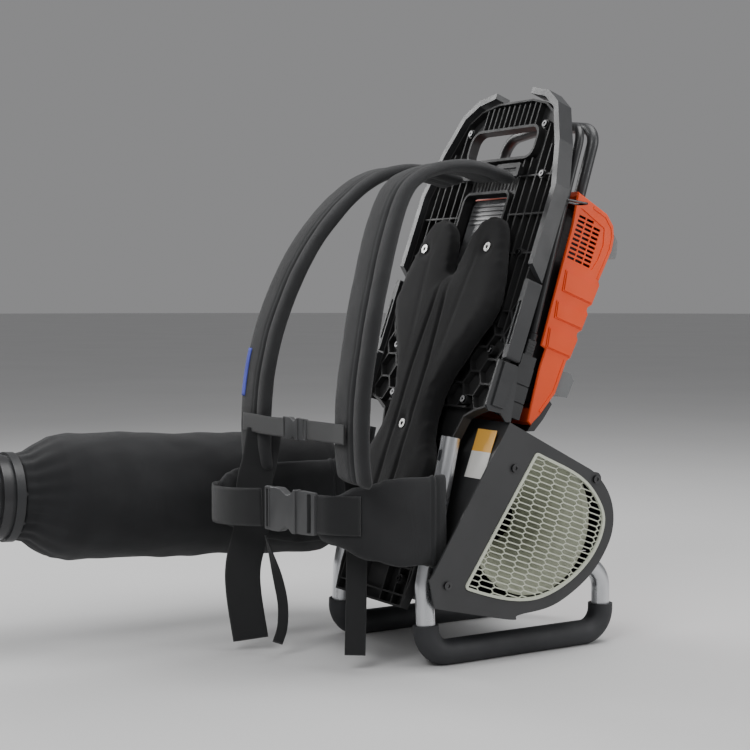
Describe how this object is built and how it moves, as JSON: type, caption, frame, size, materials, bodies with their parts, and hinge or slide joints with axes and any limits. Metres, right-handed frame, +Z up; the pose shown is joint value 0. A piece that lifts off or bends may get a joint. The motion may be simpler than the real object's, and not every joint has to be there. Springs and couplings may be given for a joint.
{
  "type": "backpack blower",
  "caption": "Battery backpack blower: ribbed carrying frame, padded harness, side fan housing with intake grille, tube stand, sleeved flexible hose and blow pipe with control handle.",
  "frame": {"origin": "middle of the footprint, on the ground", "axes": "+X towards the air intake side (the wearer's left), -Y the way the wearer faces, +Z up"},
  "size_m": [0.4921, 1.5377, 0.7671],
  "materials": {
    "frame_plastic": "moulded, fine texture",
    "rail_plastic": "satin moulded",
    "grip_plastic": "satin moulded",
    "orange_plastic": "satin gloss",
    "case_plastic": "moulded",
    "cell_wrap": "shrink wrapped steel can",
    "circuit_board": "lacquered board",
    "light_panel": "satin grey",
    "foot_plastic": "satin light grey",
    "cable_rubber": "smooth jacket",
    "bright_steel": "zinc plated",
    "dark_screw": "black oxide",
    "tube_aluminium": "drawn, satin",
    "sleeve_rubber": "matte foam rubber",
    "housing_plastic": "satin moulded",
    "grille_plastic": "pale moulded",
    "bell_plastic": "pale moulded",
    "fan_plastic": "glass filled",
    "motor_steel": "machined",
    "plain_label": "printed film, plain",
    "pad_fabric": "fine knit over foam",
    "strap_fabric": "air mesh over foam",
    "hip_fabric": "woven cover over foam",
    "webbing": "ribbed webbing",
    "buckle_plastic": "satin acetal",
    "hose_rubber": "corrugated",
    "hose_fabric": "coated woven cloth",
    "pipe_plastic": "satin",
    "trigger_plastic": "satin"
  },
  "bodies": {
    "pack": {"back_frame": "frame_plastic", "clip_boss": "frame_plastic", "strap_anchors": "frame_plastic", "side_rail_left": "rail_plastic", "side_rail_right": "rail_plastic", "side_panels": "rail_plastic", "carry_handle": "rail_plastic", "side_grips": "grip_plastic", "lower_fairing": "grip_plastic", "connector_socket": "grip_plastic", "battery_cover": "orange_plastic", "battery_case": "case_plastic", "battery_cells": "cell_wrap", "battery_board": "circuit_board", "speed_controller": "circuit_board", "front_cover": "light_panel", "rear_feet": "foot_plastic", "power_cable": "cable_rubber", "cable_plug": "cable_rubber", "pad_bolts": "bright_steel", "housing_screws": "dark_screw", "frame_screws": "dark_screw", "stand_tube_left": "tube_aluminium", "stand_tube_right": "tube_aluminium", "stand_sleeves": "sleeve_rubber", "housing_left": "housing_plastic", "housing_right": "housing_plastic", "intake_grille": "grille_plastic", "inlet_bell": "bell_plastic", "motor_mount": "fan_plastic", "motor_stator": "motor_steel", "motor_bearings": "motor_steel", "rating_plate": "plain_label", "back_pad": "pad_fabric", "shoulder_strap_left": "strap_fabric", "shoulder_strap_right": "strap_fabric", "hip_wing_left": "hip_fabric", "hip_wing_right": "hip_fabric", "hip_web_left": "webbing", "hip_web_right": "webbing", "chest_webbing": "webbing", "web_tails": "webbing", "hip_buckle_socket": "buckle_plastic", "chest_buckle_socket": "buckle_plastic"},
    "fan": {"fan_rotor": "fan_plastic", "motor_shaft": "motor_steel"},
    "bail": {"wire_clip": "dark_screw"},
    "elbow": {"outlet_elbow": "housing_plastic"},
    "hose": {"hose_bellows": "hose_rubber", "hose_sleeve": "hose_fabric", "hose_ring": "grip_plastic"},
    "pipe": {"front_pipe": "pipe_plastic", "control_handle": "grip_plastic"},
    "nozzle": {"nozzle": "pipe_plastic"},
    "trigger": {"throttle_trigger": "trigger_plastic"},
    "cruise": {"cruise_lever": "trigger_plastic"},
    "button": {"power_button": "trigger_plastic"},
    "hip_plug": {"hip_buckle_plug": "buckle_plastic"},
    "chest_plug": {"chest_buckle_plug": "buckle_plastic"}
  },
  "joints": [
    {"name": "fan_spin", "type": "hinge", "parent": "pack", "child": "fan", "pos_m": [0.08775, 0.6016, 0.182], "axis": [1, 0, 0], "continuous": true},
    {"name": "bail_swing", "type": "hinge", "parent": "pack", "child": "bail", "pos_m": [0.23275, 0.65237, 0.60693], "axis": [1, 0, 0], "range_deg": [0, 65]},
    {"name": "elbow_pitch", "type": "hinge", "parent": "pack", "child": "elbow", "pos_m": [-0.04225, 0.6016, 0.182], "axis": [1, 0, 0], "range_deg": [-25, 7]},
    {"name": "hose_yaw", "type": "hinge", "parent": "elbow", "child": "hose", "pos_m": [-0.15725, 0.4528, 0.1898], "axis": [0, 0.0523, 0.9986], "range_deg": [-20, 0]},
    {"name": "pipe_roll", "type": "hinge", "parent": "hose", "child": "pipe", "pos_m": [-0.15725, 0.03238, 0.21183], "axis": [0, -0.9986, 0.0523], "range_deg": [-35, 35]},
    {"name": "nozzle_slide", "type": "slide", "parent": "pipe", "child": "nozzle", "axis": [0, -0.9986, 0.0523], "range_m": [0, 0.04]},
    {"name": "trigger_pull", "type": "hinge", "parent": "pipe", "child": "trigger", "pos_m": [-0.15725, -0.05463, 0.34757], "axis": [1, 0, 0], "range_deg": [0, 10], "stiffness_Nm_per_rad": 0.5, "springref_deg": -8.59},
    {"name": "cruise_set", "type": "hinge", "parent": "pipe", "child": "cruise", "pos_m": [-0.15725, -0.03893, 0.37979], "axis": [1, 0, 0], "range_deg": [-10, 40]},
    {"name": "button_press", "type": "slide", "parent": "pipe", "child": "button", "axis": [0, -0.0523, -0.9986], "range_m": [0, 0.0025], "stiffness_N_per_m": 400, "springref_m": -0.001},
    {"name": "hip_release", "type": "slide", "parent": "pack", "child": "hip_plug", "axis": [0.9781, 0.2079, 0], "range_m": [0, 0.027]},
    {"name": "chest_release", "type": "slide", "parent": "pack", "child": "chest_plug", "axis": [0.9962, 0.0872, 0], "range_m": [0, 0.015]}
  ]
}
